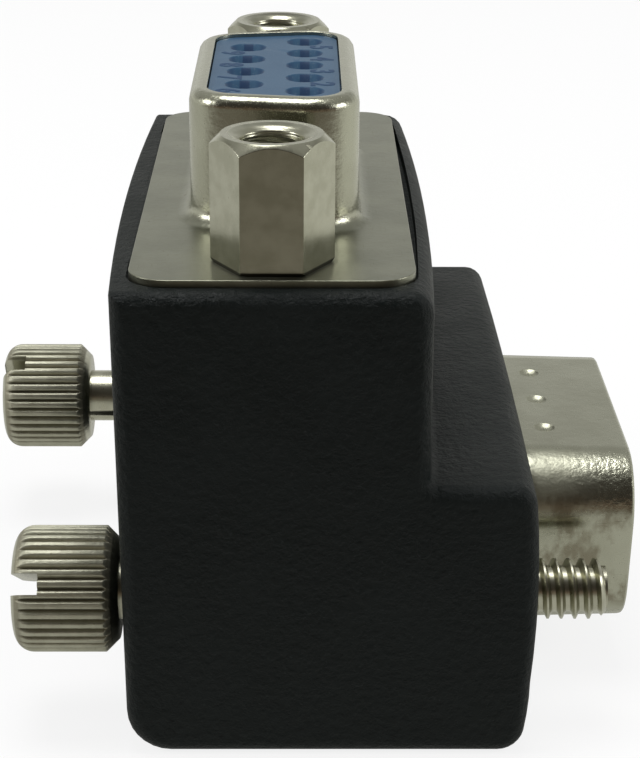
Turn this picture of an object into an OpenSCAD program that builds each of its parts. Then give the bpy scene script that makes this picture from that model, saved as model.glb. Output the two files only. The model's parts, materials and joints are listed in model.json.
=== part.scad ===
// Right-angle nine-way D-sub adapter: a female connector on top, a male one on
// the side, nine contact pairs joined by bent leads inside one moulded housing,
// two hex standoffs on top and two captive thumbscrews that pass right through.
// The base lies on z = 0, and the top connector's axis is the Z axis.

/* [Housing] */
// Housing beyond each end of the flanges
end_wall = 1.095; // [0.895:0.05:3.595]
// Housing beside the top flange, at its corners
side_wall = 0.675; // [0.525:0.05:1.725]
// Height of the rim round the top connector
rim_z = 22.3; // [22:0.1:28]
// How far the arm that carries the side connector stands out from the column
arm_reach = 4.85; // [4.55:0.05:9]
// Housing above the side flange
arm_cover = 1; // [0.85:0.05:2.85]
// Housing below the side flange
arm_floor = 0.85; // [0.7:0.05:1.3]
// How far the long sides bow out at mid-length
crown_rise = 0.45; // [0.1:0.05:0.8]
// How far the back leans in from the rim to the base
back_draft = 0.25; // [0:0.05:0.6]
// How far the two end faces bow out at their middle
end_bow = 0.05; // [0.02:0.01:0.2]
// Rounding of all edges of the two end faces
edge_r = 0.7; // [0.2:0.1:0.7]
// Rounding of the rim's and the arm's long edges
rim_r = 1; // [0.9:0.05:1.1]
// Fillet where the arm meets the column
inner_r = 0.4; // [0.2:0.1:1.5]
// Radius along the base under the back
base_back_r = 2; // [1:0.1:3]
// Radius along the base under the side connector
base_front_r = 1.25; // [0.8:0.05:1.5]
// Radius of the slow curve that leads from the face to the base
base_lead_r = 14; // [8:0.5:20]
// Angle at which that curve meets the base radius
base_lead_a = 10; // [4:1:16]
// Bow of the face round the side connector
face_bow = 0.2; // [0.05:0.05:0.4]
// Gap round the rear shells inside the housing
cavity_gap = 0.15; // [0.1:0.05:0.2]
// Gap round a flange in its recess
recess_gap = 0.1; // [0.05:0.01:0.15]
// Extra bow of the top recess, which leaves a slit beside the flange
recess_bow = 0.3; // [0:0.05:0.5]

/* [Connector shells] */
// Distance from an end of the side shell to the screw beside it
screw_gap = 3.545; // [3.495:0.01:3.595]
// Distance from a screw hole's axis to the end of the flanges
flange_over = 2.91; // [2.8:0.01:3]
// Gap round a thread in the screw holes of the flanges
screw_hole_gap = 0.13; // [0.1:0.01:0.23]
// Corner radius of the flanges
flange_r = 1.8; // [0.5:0.1:2.4]
// Thickness of the sheet of all shells
sheet_t = 0.45; // [0.3:0.05:0.5]
// Lean of the short sides of the D
side_a = 10; // [8:0.5:12]
// Radius where a front shell turns out into its flange
flare_r = 0.7; // [0.3:0.05:0.8]
// Width of the ring by which the collar bears on the front flange
collar_over = 0.1; // [0.05:0.01:0.15]
// Gap of each insulator in its shell
seat_gap = 0.05; // [0.03:0.01:0.08]
// Depth of a rear shell behind the flanges
skirt_l = 4.4; // [4:0.1:5]
// Width of the lip that holds the rear insulator in
skirt_lip = 0.9; // [0.5:0.1:1.2]

/* [Top connector] */
// Width of the top flange
top_flange_w = 12.55; // [12.4:0.01:12.6]
// Height of the top flange's face above the rim
top_proud = 0.3; // [0.1:0.05:0.5]
// Distance from the last contact of the long row to the top shell's outside
top_margin = 2.625; // [2.555:0.01:2.715]
// Width of the top shell across its rows, outside
top_t = 7.9; // [7.8:0.01:8]
// Outside corner radius of the top shell
top_r = 2.3; // [2:0.05:2.6]
// Height of the top shell above its flange
top_h = 6.17; // [5.8:0.01:6.4]
// Outside radius of the top shell's rolled edge
roll_r = 0.6; // [0.5:0.05:0.75]
// Width of the rolled edge, seen from above
roll_w = 0.83; // [0.75:0.01:0.95]
// Depth of the insulator's face below the rolled edge
face_drop = 0.17; // [0.05:0.01:0.3]

/* [Side connector] */
// Width of the side flange beside the shell
side_flange_over = 1.02; // [0.92:0.01:1.12]
// Depth of the side flange's face behind the housing's face
side_recess = 0.35; // [0.1:0.05:0.6]
// Distance from the last contact of the long row to the side shell's outside
side_margin = 3.41; // [3.31:0.01:3.46]
// Width of the side shell across its rows, outside
side_t = 9.36; // [9.2:0.01:9.4]
// Outside corner radius of the side shell
side_r = 2.85; // [2.6:0.05:3.1]
// Height of the side shell above its flange
side_h = 5.9; // [5.7:0.01:6.1]
// Draft of the side shell, a side
side_draft = 1.2; // [0:0.1:1.5]
// Rounding of the side shell's outer edge
side_edge_r = 0.25; // [0.1:0.05:0.3]
// Diameter of the pressed earthing dimples
dimple_d = 1.3; // [1:0.05:1.6]
// Depth of the dimples
dimple_t = 0.25; // [0.15:0.01:0.3]
// Distance between the dimples on the long side
dimple_pitch = 3.87; // [3.5:0.01:4.2]
// Height of the dimples above the flange
dimple_h = 2.3; // [2:0.1:3]

/* [Contacts] */
// Distance between neighbours in a row
pitch = 2.77; // [2.76:0.01:2.78]
// Distance between the two rows
row_gap = 2.84; // [2.8:0.01:2.9]
// Outside diameter of a contact's body
body_d = 1.5; // [1.4:0.01:1.6]
// Gap round a contact's body in its chamber
body_gap = 0.04; // [0.02:0.01:0.06]
// Diameter of the shoulder that locks a contact between the insulators
shoulder_d = 1.9; // [1.8:0.05:2]
// Thickness of that shoulder
shoulder_t = 0.5; // [0.3:0.1:0.8]
// Bore of a socket
socket_d = 1.06; // [1.04:0.01:1.1]
// Depth of a socket's bore
socket_l = 5; // [4:0.1:5.4]
// Depth of a socket's mouth below the insulator's face
socket_drop = 0.9; // [0.7:0.05:1.2]
// Width of the two slits that let a socket spring
slit_w = 0.2; // [0.1:0.05:0.25]
// Length of those slits
slit_l = 3.5; // [2.5:0.1:4]
// Mouth of a contact hole in the insulator's face
mouth_d = 1.85; // [1.7:0.05:2]
// Entry of a contact hole under its countersink
entry_d = 1.06; // [1.04:0.01:1.1]
// Depth of the countersink
mouth_t = 0.52; // [0.3:0.02:0.6]
// Diameter of a pin
pin_d = 1.02; // [1:0.01:1.04]
// Depth of a pin's tip below the side shell's edge
pin_drop = 0.7; // [0.5:0.05:1.1]
// Height of the side insulator's face above the side flange
side_face_h = 0.4; // [0.2:0.05:1]
// Distance from a flange's face to the end of its solder cups
tail_l = 8.5; // [7.8:0.1:8.8]
// Bore of a solder cup
cup_d = 1.1; // [1:0.02:1.2]
// Depth of a solder cup
cup_l = 2.2; // [1.8:0.1:2.4]
// Length of the opening along a cup's side
cup_slot_l = 1.5; // [1:0.1:1.7]
// Gap between a lead's end and the floor of its cup
lead_gap = 0.2; // [0.1:0.05:0.3]
// Diameter of a lead
lead_d = 0.9; // [0.6:0.05:0.95]
// Inside bend radius of the leads of the long row
lead_bend_r = 1.2; // [0.8:0.1:1.3]

/* [Standoffs] */
// Width of the hexagon across its flats
hex_af = 4.76; // [4.7:0.01:5]
// Height of the hexagon
hex_h = 5.78; // [5:0.01:7]
// Diameter of the flat ring on the hexagon's top
hex_top_d = 4.5; // [4.2:0.05:4.6]
// Mouth of the countersink on top
sink_d = 3.4; // [3:0.05:3.6]
// Bore under the internal thread
tap_d = 2.35; // [2.2:0.01:2.4]
// Depth of that bore
tap_l = 5.2; // [4:0.1:5.4]
// Length of the threaded stud under the flange
stud_l = 5; // [4:0.1:5.2]
// Diameter of the brass insert in the housing
insert_d = 4.4; // [4:0.1:4.8]
// Length of the insert
insert_l = 5.2; // [4.4:0.1:5.6]

/* [Thumbscrews] */
// Diameter over the knurl
head_d = 5.9; // [5.6:0.05:6.6]
// Length of the head
head_l = 4.85; // [4:0.05:6]
// Number of ridges round the head
knurls = 36; // [24:1:48]
// Depth of the knurl
knurl_t = 0.22; // [0.1:0.01:0.3]
// Rounding of the head's outer end
head_r = 0.9; // [0.3:0.05:1]
// Chamfer of the head's inner end
head_chamfer = 0.6; // [0.2:0.05:0.7]
// Width of the screwdriver slot
slot_w = 1; // [0.6:0.05:1.1]
// Depth of the screwdriver slot
slot_t = 1.3; // [0.6:0.05:1.6]
// Turn of the slot of the near screw
near_turn = 150; // [0:5:180]
// Turn of the slot of the far screw
far_turn = 120; // [0:5:180]
// Diameter of the shank
shank_d = 2.9; // [2.86:0.01:2.95]
// Major diameter of all threads
thread_d = 2.84; // [2.8:0.01:2.85]
// Length of the screw's thread
thread_l = 3.6; // [3:0.05:3.7]
// Length of the thread in front of the housing, pushed home
thread_out = 3.7; // [3.7:0.05:4.5]
// Gap under the head, pushed home
head_gap = 0.2; // [0.2:0.01:0.4]
// How far a screw slides between its stops
screw_travel = 3.9; // [3.7:0.1:4.2]
// How far the near screw is pulled out
near_pull = 0; // [0:0.05:3.6]
// How far the far screw is pulled out
far_pull = 3.65; // [0:0.05:3.65]
// Diameter of the retaining clip
clip_d = 4; // [3.8:0.1:4.2]
// Thickness of the clip
clip_t = 0.8; // [0.5:0.1:1]
// Diameter of the groove that holds the clip
groove_d = 2.3; // [2:0.05:2.4]
// Radial running gap of the shank and of the clip
run_gap = 0.07; // [0.04:0.01:0.09]
// Gap at each end of the clip's travel, and around it
stop_gap = 0.25; // [0.2:0.05:0.3]

/* [Hidden] */
ways = 9;
long_row = 5;
contact_ids = [for (k = [1:ways]) k];

arc_n = 7;         // steps on each corner of a lofted D
edge_n = 5;        // rings on each rounded end edge of the housing
crown_n = 12;      // rings along the bowed sides
over = 1;          // how far a cutting shape runs past what it cuts
weld = 0.15;       // overlap of a lofted shell and its flange
$fn = 48;

row_l = (long_row - 1) * pitch;
top_w = row_l + 2 * top_margin;            // long side of the top shell
side_w = row_l + 2 * side_margin;          // long side of the side shell
screw_y = side_w / 2 + screw_gap;
flange_l = 2 * (screw_y + flange_over);
housing_l = flange_l + 2 * end_wall;
side_flange_w = side_t + 2 * side_flange_over;
column_w = top_flange_w + 2 * side_wall;
arm_x = column_w / 2 + arm_reach;          // face round the side connector
axis_z = arm_floor + side_flange_w / 2;    // side connector and thumbscrews
arm_h = axis_z + side_flange_w / 2 + arm_cover;
stack_t = 2 * sheet_t;                     // both flanges, back to back
top_z = rim_z + top_proud;                 // face of the top flange
top_seat_z = top_z - stack_t;              // floor of the top recess
side_x = arm_x - side_recess;              // face of the side flange
side_seat_x = side_x - stack_t;            // floor of the side recess
skirt_off = collar_over + seat_gap + sheet_t;  // rear shell outside the D
collar_l = 1.3;                            // front insulator's collar
skirt_in = stack_t + skirt_l;              // a rear shell's end, from its flange's face
block_in = skirt_in - sheet_t;             // a rear insulator's end
shoulder_in = sheet_t + collar_l;          // where the two insulators meet
screw_hole_d = thread_d + 2 * screw_hole_gap;
tunnel_d = shank_d + 2 * run_gap;
chamber_d = clip_d + 2 * stop_gap;
chamber_l = screw_travel + clip_t + 2 * stop_gap;
back_x = -column_w / 2 + back_draft * (1 - axis_z / rim_z) - crown_at(screw_y);
tip_x = arm_x + thread_out;
pin_h = side_h - pin_drop;                 // pin's tip above the side flange
insert_gap = 0.05;
stud_gap = 0.03;
groove_gap = 0.1;  // on each side of the clip
end_chamfer = 0.35;

// Bow of the long sides at a place along the housing
function crown_at(y) = crown_rise * (1 - pow(2 * y / housing_l, 2));

// Place of contact k across and along the rows: the long row is first
function row_of(k) = k <= long_row ? row_gap / 2 : -row_gap / 2;
function along_of(k) = pitch * (k <= long_row
    ? k - (long_row + 1) / 2
    : k - long_row - (ways - long_row + 1) / 2);

// The housing's L-shaped section, as arcs in order round it:
// [x, z, radius, from, to, steps, 1 outside or -1 inside, bow along x, bow along z]
face_low_z = base_front_r + (base_lead_r - base_front_r) * sin(base_lead_a);
face_high_z = arm_h - rim_r;
face_half = (face_high_z - face_low_z) / 2;
bow_r = (pow(face_half, 2) + pow(face_bow, 2)) / (2 * face_bow);
bow_a = 0.7 * asin(face_half / bow_r);      // stops short of the arcs above and below
section = [
    [-column_w / 2 + back_draft + base_back_r, base_back_r, base_back_r, 180, 270, 7, 1, -1, 0],
    [arm_x - base_lead_r + (base_lead_r - base_front_r) * cos(base_lead_a), base_front_r,
     base_front_r, -90, -base_lead_a, 6, 1, 0, 0],
    [arm_x - base_lead_r, face_low_z, base_lead_r, -base_lead_a, 0, 3, 1, 0, 0],
    [arm_x + face_bow - bow_r, face_low_z + face_half, bow_r, -bow_a, bow_a, 4, 1, 0, 0],
    [arm_x - rim_r, arm_h - rim_r, rim_r, 0, 90, 5, 1, 0, 1],
    [column_w / 2 + inner_r, arm_h + inner_r, inner_r, 270, 180, 4, -1, 1, 1],
    [column_w / 2 - rim_r, rim_z - rim_r, rim_r, 0, 90, 5, 1, 1, 0],
    [-column_w / 2 + rim_r, rim_z - rim_r, rim_r, 90, 180, 5, 1, -1, 0]
];

// The section at y, moved inwards by inset
function section_at(y, inset) = [
    for (c = section)
        for (i = [0:c[5]])
            let (a = c[3] + (c[4] - c[3]) * i / c[5],
                 r = c[6] > 0 ? max(c[2] - inset, 0.02) : c[2] + inset,
                 bow = crown_at(y))
            [c[0] + r * cos(a) + c[7] * bow, y, c[1] + r * sin(a) + c[8] * bow]
];

// Stations along the housing: [distance from the middle, inset]
half_l = housing_l / 2;
near_edge = [
    for (i = [0:edge_n])
        let (a = 90 * i / edge_n)
        [half_l - edge_r * (1 - cos(a)), edge_r * (1 - sin(a))]
];
stations = concat(
    [for (s = near_edge) [-s[0], s[1]]],
    [for (i = [1:crown_n - 1]) [(half_l - edge_r) * (2 * i / crown_n - 1), 0]],
    [for (i = [edge_n:-1:0]) near_edge[i]]);

// Corners of a D whose long side is at +x: [x, y, from, to]
function d_corners(w, t, r) =
    let (x = t / 2 - r, y = w / 2 - r, y2 = y - 2 * x * tan(side_a))
    [[x, y, 0, 90 + side_a], [-x, y2, 90 + side_a, 180],
     [-x, -y2, 180, 270 - side_a], [x, -y, 270 - side_a, 360]];

// A ring of points round a D, off outside it, at height z
function d_ring(w, t, r, off, z) = [
    for (c = d_corners(w, t, r))
        for (i = [0:arc_n])
            let (a = c[2] + (c[3] - c[2]) * i / arc_n)
            [c[0] + (r + off) * cos(a), c[1] + (r + off) * sin(a), z]
];

// Solid between rings of points, closed at each end by a fan of facets to an apex
module loft(rings, first_apex, last_apex) {
    n = len(rings[0]);
    last = len(rings) - 1;
    first_i = n * len(rings);
    polyhedron(
        points = concat([for (ring = rings) each ring], [first_apex, last_apex]),
        faces = concat(
            [for (i = [0:n - 1]) [first_i, (i + 1) % n, i]],
            [for (j = [0:last - 1], i = [0:n - 1])
                [j * n + i, j * n + (i + 1) % n, (j + 1) * n + (i + 1) % n, (j + 1) * n + i]],
            [for (i = [0:n - 1]) [first_i + 1, last * n + i, last * n + (i + 1) % n]]),
        convexity = 6);
}

// Sheet wall between rings that run up its outside and down its inside
module wall_loft(rings) {
    n = len(rings[0]);
    m = len(rings);
    polyhedron(
        points = [for (ring = rings) each ring],
        faces = [for (j = [0:m - 1], i = [0:n - 1])
            [j * n + i, ((j + 1) % m) * n + i, ((j + 1) % m) * n + (i + 1) % n, j * n + (i + 1) % n]],
        convexity = 6);
}

// Flat D, off outside the given one
module d_area(w, t, r, off = 0) {
    corners = d_corners(w, t, r);
    polygon([for (c = corners) for (a = [c[2], c[3]])
        [c[0] + (r + off) * cos(a), c[1] + (r + off) * sin(a)]]);
    for (c = corners)
        translate([c[0], c[1]])
            circle(r + off);
}

// Straight D-shaped block between two heights
module d_block(w, t, r, off, z0, z1) {
    translate([0, 0, z0])
        linear_extrude(z1 - z0)
            d_area(w, t, r, off);
}

module rounded_area(w, l, r) {
    square([w - 2 * r, l], center = true);
    square([w, l - 2 * r], center = true);
    for (sx = [-1, 1], sy = [-1, 1])
        translate([sx * (w / 2 - r), sy * (l / 2 - r)])
            circle(r);
}

// Places the side connector's parts: their z is the housing's +x, their x is up
module on_side() {
    translate([side_x, 0, axis_z])
        rotate([0, 90, 0])
            mirror([1, 0, 0])
                children();
}

module on_top() {
    translate([0, 0, top_z])
        children();
}

module at_contacts() {
    for (k = contact_ids)
        translate([row_of(k), along_of(k), 0])
            children();
}

// ---- Housing ----

module side_recess_cut() {
    on_side()
        translate([0, 0, -stack_t])
            linear_extrude(stack_t + side_recess + over)
                rounded_area(side_flange_w + 2 * recess_gap, flange_l + 2 * recess_gap,
                             flange_r + recess_gap);
}

// The top recess follows the bowed sides of the rim
module top_recess_cut() {
    half_w = top_flange_w / 2 + recess_gap;
    end_y = flange_l / 2 + recess_gap;
    r = flange_r + recess_gap;
    steps = 12;
    side = [
        for (i = [0:steps])
            let (y = (end_y - r) * (2 * i / steps - 1))
            [half_w + recess_bow * (1 - pow(y / (end_y - r), 2)), y]
    ];
    translate([0, 0, top_seat_z])
        linear_extrude(stack_t + over) {
            polygon(concat(side, [for (i = [steps:-1:0]) [-side[i][0], side[i][1]]]));
            rounded_area(2 * half_w, 2 * end_y, r);
        }
}

module cavity_cut() {
    off = skirt_off + cavity_gap;
    floor_z = axis_z - side_t / 2 - off;
    translate([-top_t / 2 - off, -top_w / 2 - off, floor_z])
        cube([top_t + 2 * off, top_w + 2 * off, top_seat_z - floor_z + over / 2]);
    translate([-top_t / 2 - off, -side_w / 2 - off, floor_z])
        cube([top_t / 2 + off + side_seat_x + over / 2, side_w + 2 * off, side_t + 2 * off]);
}

// Passage of one thumbscrew, with the chamber that its clip slides in
module screw_tunnel_cut() {
    translate([side_seat_x, 0, axis_z])
        rotate([0, -90, 0]) {
            translate([0, 0, -over / 2])
                cylinder(d = chamber_d, h = chamber_l + over / 2);
            cylinder(d = tunnel_d, h = side_seat_x + column_w);
        }
}

module insert_pocket_cut() {
    translate([0, 0, top_seat_z - insert_l - insert_gap])
        cylinder(d = insert_d + 2 * insert_gap, h = insert_l + insert_gap + over / 2);
}

module housing() {
    color("#1b1e1e")
        difference() {
            loft([for (s = stations) section_at(s[0], s[1])],
                 [0, -half_l - end_bow, arm_h / 2], [0, half_l + end_bow, arm_h / 2]);
            top_recess_cut();
            side_recess_cut();
            cavity_cut();
            for (s = [-1, 1])
                translate([0, s * screw_y, 0]) {
                    screw_tunnel_cut();
                    insert_pocket_cut();
                }
        }
}

// ---- Connector shells ----

module flange(w, z, hole_w, hole_t, hole_r, hole_off) {
    translate([0, 0, z])
        linear_extrude(sheet_t)
            difference() {
                rounded_area(w, flange_l, flange_r);
                d_area(hole_w, hole_t, hole_r, hole_off);
                for (s = [-1, 1])
                    translate([0, s * screw_y])
                        circle(d = screw_hole_d);
            }
}

// Outside of a drawn shell, from its flange up to where its edge begins
function flare_rings(w, t, r) = [
    for (i = [0:4])
        let (a = 90 * i / 4)
        d_ring(w, t, r, flare_r * (1 - sin(a)), flare_r * (1 - cos(a)))
];

module female_front_shell() {
    bend = [for (i = [0:4]) 90 * i / 4];
    color("#a6a596")
        on_top() {
            flange(top_flange_w, -sheet_t, top_w, top_t, top_r, flare_r - weld);
            wall_loft(concat(
                [d_ring(top_w, top_t, top_r, flare_r, -sheet_t)],
                flare_rings(top_w, top_t, top_r),
                [for (a = bend)
                    d_ring(top_w, top_t, top_r, -roll_r * (1 - cos(a)), top_h - roll_r + roll_r * sin(a))],
                [d_ring(top_w, top_t, top_r, -roll_w, top_h),
                 d_ring(top_w, top_t, top_r, -roll_w, top_h - sheet_t),
                 d_ring(top_w, top_t, top_r, -sheet_t, top_h - sheet_t),
                 d_ring(top_w, top_t, top_r, -sheet_t, -sheet_t)]));
        }
}

module male_front_shell() {
    lean = tan(side_draft);
    bend = [for (i = [0:3]) 90 * i / 3];
    color("#a6a596")
        on_side() {
            flange(side_flange_w, -sheet_t, side_w, side_t, side_r, flare_r - weld);
            difference() {
                wall_loft(concat(
                    [d_ring(side_w, side_t, side_r, flare_r, -sheet_t)],
                    flare_rings(side_w, side_t, side_r),
                    [for (a = bend)
                        d_ring(side_w, side_t, side_r, -lean * side_h - side_edge_r * (1 - cos(a)),
                               side_h - side_edge_r + side_edge_r * sin(a))],
                    [d_ring(side_w, side_t, side_r, -lean * side_h - sheet_t, side_h),
                     d_ring(side_w, side_t, side_r, -sheet_t, -sheet_t)]));
                dimples();
            }
        }
}

// Spherical dents: three on the long side and two on the short one
module dimples() {
    ball_r = (pow(dimple_d / 2, 2) + pow(dimple_t, 2)) / (2 * dimple_t);
    wall_x = side_t / 2 - dimple_h * tan(side_draft);
    for (i = [-1:1])
        translate([wall_x + ball_r - dimple_t, i * dimple_pitch, dimple_h])
            sphere(ball_r);
    for (i = [-0.5, 0.5])
        translate([-wall_x - ball_r + dimple_t, i * dimple_pitch, dimple_h])
            sphere(ball_r);
}

// Rear shell: a flange under the front one, and a skirt with a turned-in lip
module rear_shell(w, t, r, flange_w) {
    flange(flange_w, -stack_t, w, t, r, skirt_off - sheet_t);
    difference() {
        d_block(w, t, r, skirt_off, -skirt_in, -stack_t + sheet_t / 2);
        d_block(w, t, r, skirt_off - sheet_t, -block_in, 0);
        d_block(w, t, r, skirt_off - sheet_t - skirt_lip, -skirt_in - over, 0);
    }
}

module female_rear_shell() {
    color("#a6a596")
        on_top()
            rear_shell(top_w, top_t, top_r, top_flange_w);
}

module male_rear_shell() {
    color("#a6a596")
        on_side()
            rear_shell(side_w, side_t, side_r, side_flange_w);
}

// ---- Insulators ----

module front_block(w, t, r) {
    d_block(w, t, r, collar_over, -shoulder_in, -sheet_t);
}

// Room for a contact's body and for its shoulder, under height top
module contact_chambers(top) {
    at_contacts() {
        translate([0, 0, -shoulder_in - over])
            cylinder(d = body_d + 2 * body_gap, h = top + shoulder_in + over);
        translate([0, 0, -shoulder_in - over])
            cylinder(d = shoulder_d + 2 * body_gap, h = shoulder_t + over);
    }
}

module female_front_insulator() {
    face = top_h - face_drop;
    mouth = face - socket_drop;
    color("#5a708c")
        on_top()
            difference() {
                union() {
                    front_block(top_w, top_t, top_r);
                    d_block(top_w, top_t, top_r, -sheet_t - seat_gap, -shoulder_in,
                            top_h - sheet_t - seat_gap);
                    d_block(top_w, top_t, top_r, -roll_w - seat_gap, 0, face);
                }
                contact_chambers(mouth + body_gap);
                at_contacts() {
                    translate([0, 0, mouth - over])
                        cylinder(d = entry_d, h = socket_drop + 2 * over);
                    translate([0, 0, face - mouth_t])
                        cylinder(d1 = entry_d, d2 = mouth_d, h = mouth_t);
                }
            }
}

module male_front_insulator() {
    color("#2f3436")
        on_side()
            difference() {
                union() {
                    front_block(side_w, side_t, side_r);
                    d_block(side_w, side_t, side_r, -sheet_t - 2 * seat_gap, -shoulder_in, side_face_h);
                }
                contact_chambers(side_face_h + over);
            }
}

module rear_block(w, t, r) {
    difference() {
        d_block(w, t, r, collar_over, -block_in, -shoulder_in);
        at_contacts()
            translate([0, 0, -block_in - over])
                cylinder(d = body_d + 2 * body_gap, h = skirt_in + over);
    }
}

module female_rear_insulator() {
    color("#2f3436")
        on_top()
            rear_block(top_w, top_t, top_r);
}

module male_rear_insulator() {
    color("#2f3436")
        on_side()
            rear_block(side_w, side_t, side_r);
}

// ---- Contacts ----

// Body, shoulder and solder cup, with the body's front end at height top
module contact_back(top) {
    difference() {
        union() {
            translate([0, 0, -tail_l])
                cylinder(d = body_d, h = tail_l + top);
            translate([0, 0, -shoulder_in])
                cylinder(d = shoulder_d, h = shoulder_t);
        }
        translate([0, 0, -tail_l - over])
            cylinder(d = cup_d, h = cup_l + over);
        translate([0, -body_d, -tail_l - over])
            cube([body_d, 2 * body_d, cup_slot_l + over]);
    }
}

module socket(k) {
    mouth = top_h - face_drop - socket_drop;
    color("#c8a24a")
        on_top()
            translate([row_of(k), along_of(k), 0])
                difference() {
                    contact_back(mouth);
                    translate([0, 0, mouth - socket_l])
                        cylinder(d = socket_d, h = socket_l + over);
                    translate([-body_d, -slit_w / 2, mouth - slit_l])
                        cube([2 * body_d, slit_w, slit_l + over]);
                }
}

module pin(k) {
    flat_r = 0.05;
    tip_r = pin_d / 2 - flat_r;
    color("#c8a24a")
        on_side()
            translate([row_of(k), along_of(k), 0]) {
                contact_back(side_face_h);
                rotate_extrude() {
                    square([pin_d / 2, pin_h - tip_r]);
                    square([flat_r, pin_h]);
                    translate([flat_r, pin_h - tip_r])
                        intersection() {
                            circle(tip_r);
                            square(tip_r);
                        }
                }
            }
}

// Bent lead from a socket's solder cup to the pin's one
module lead(k) {
    reach = cup_l - lead_gap;
    centre_x = row_gap / 2 + lead_bend_r;
    centre_z = axis_z + row_gap / 2 + lead_bend_r;
    bend_r = centre_x - row_of(k);
    color("#b9b6ad")
        translate([centre_x, along_of(k), centre_z]) {
            translate([-bend_r, 0, 0])
                cylinder(d = lead_d, h = top_z - tail_l + reach - centre_z);
            rotate([90, 0, 0])
                rotate_extrude(angle = 90, start = 180)
                    translate([bend_r, 0])
                        circle(d = lead_d);
            translate([0, 0, -bend_r])
                rotate([0, 90, 0])
                    cylinder(d = lead_d, h = side_x - tail_l + reach - centre_x);
        }
}

// ---- Standoffs ----

module standoff() {
    bottom_chamfer = 0.15;
    corner_r = hex_af / sqrt(3);
    slope = (corner_r - hex_top_d / 2) * tan(30);
    color("#a6a596")
        difference() {
            union() {
                intersection() {
                    cylinder(r = corner_r, h = hex_h, $fn = 6);
                    rotate_extrude()
                        polygon([[0, 0], [corner_r - bottom_chamfer, 0], [corner_r, bottom_chamfer],
                                 [corner_r, hex_h - slope], [hex_top_d / 2, hex_h], [0, hex_h]]);
                }
                rotate_extrude()
                    polygon([[0, -stud_l], [thread_d / 2 - end_chamfer, -stud_l],
                             [thread_d / 2, end_chamfer - stud_l], [thread_d / 2, over], [0, over]]);
            }
            translate([0, 0, hex_h - tap_l])
                cylinder(d = tap_d, h = tap_l + over);
            translate([0, 0, hex_h - (sink_d - tap_d) / 2])
                cylinder(d1 = tap_d, d2 = sink_d, h = (sink_d - tap_d) / 2);
        }
}

// Brass insert: a sleeve with two raised bands that grip the housing
module insert() {
    band_t = 0.25;
    band_l = insert_l / 4;
    color("#b08d45")
        translate([0, 0, -insert_l])
            rotate_extrude() {
                translate([thread_d / 2 + stud_gap, 0])
                    square([insert_d / 2 - band_t - thread_d / 2 - stud_gap, insert_l]);
                for (z = [band_l, insert_l - band_l])
                    translate([thread_d / 2 + stud_gap, z])
                        square([insert_d / 2 - thread_d / 2 - stud_gap, band_l]);
            }
}

// ---- Thumbscrews ----

// Knurled bar, cut to a turned outline that is rounded outside and chamfered inside
module head() {
    r = head_d / 2;
    clear_r = r + knurl_t;
    intersection() {
        linear_extrude(head_l)
            polygon([for (i = [0:2 * knurls - 1])
                let (tooth_r = r - knurl_t * (i % 2), a = 180 * i / knurls)
                [tooth_r * cos(a), tooth_r * sin(a)]]);
        rotate_extrude()
            polygon(concat(
                [[0, 0]],
                [for (a = [0:22.5:67.5]) [r - head_r * (1 - sin(a)), head_r * (1 - cos(a))]],
                [[clear_r, head_r + knurl_t], [clear_r, head_l - head_chamfer - knurl_t],
                 [r - head_chamfer, head_l], [0, head_l]]));
    }
}

// A thumbscrew along +x, pushed home, with its slot turned by angle turn
module jackscrew(turn) {
    start = back_x - head_gap;
    clip_end = side_seat_x - stop_gap;
    groove_end = clip_end + groove_gap;
    groove_start = clip_end - clip_t - groove_gap;
    color("#a6a596")
        rotate([0, 90, 0])
            rotate([0, 0, turn])
                difference() {
                    union() {
                        translate([0, 0, start - head_l])
                            head();
                        rotate_extrude()
                            polygon([[0, start - over], [shank_d / 2, start - over],
                                     [shank_d / 2, groove_start], [groove_d / 2, groove_start],
                                     [groove_d / 2, groove_end], [shank_d / 2, groove_end],
                                     [shank_d / 2, groove_end + groove_gap],
                                     [groove_d / 2, groove_end + 2 * groove_gap],
                                     [groove_d / 2, tip_x - thread_l - groove_gap],
                                     [thread_d / 2, tip_x - thread_l],
                                     [thread_d / 2, tip_x - end_chamfer],
                                     [thread_d / 2 - end_chamfer, tip_x], [0, tip_x]]);
                    }
                    translate([-slot_w / 2, -head_d, start - head_l - over])
                        cube([slot_w, 2 * head_d, slot_t + over]);
                }
}

// Split spring clip in the screw's groove, where it lies pushed home
module clip() {
    bore = groove_d + 2 * run_gap;
    mouth = 0.7 * bore;    // narrower than the groove, so that the clip snaps on
    color("#8f8f88")
        translate([side_seat_x - stop_gap - clip_t, 0, 0])
            rotate([0, 90, 0])
                difference() {
                    cylinder(d = clip_d, h = clip_t);
                    translate([0, 0, -over])
                        cylinder(d = bore, h = clip_t + 2 * over);
                    translate([0, -mouth / 2, -over])
                        cube([clip_d, mouth, clip_t + 2 * over]);
                }
}

module at_screw(side, pull) {
    translate([-pull, side * screw_y, axis_z])
        children();
}

module at_standoff(side, z) {
    translate([0, side * screw_y, z])
        children();
}

housing();
female_front_shell();
female_rear_shell();
female_front_insulator();
female_rear_insulator();
male_front_shell();
male_rear_shell();
male_front_insulator();
male_rear_insulator();
at_standoff(-1, top_z) standoff();  // standoff_near
at_standoff(1, top_z) standoff();  // standoff_far
at_standoff(-1, top_seat_z) insert();  // insert_near
at_standoff(1, top_seat_z) insert();  // insert_far
at_screw(-1, near_pull) jackscrew(near_turn);  // jackscrew_near
at_screw(1, far_pull) jackscrew(far_turn);  // jackscrew_far
at_screw(-1, near_pull) clip();  // clip_near
at_screw(1, far_pull) clip();  // clip_far
for (k = contact_ids) {
    socket(k);
    pin(k);
    lead(k);
}
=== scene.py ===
import json
import math

import bmesh
import bpy
from mathutils import Matrix, Vector


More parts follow.
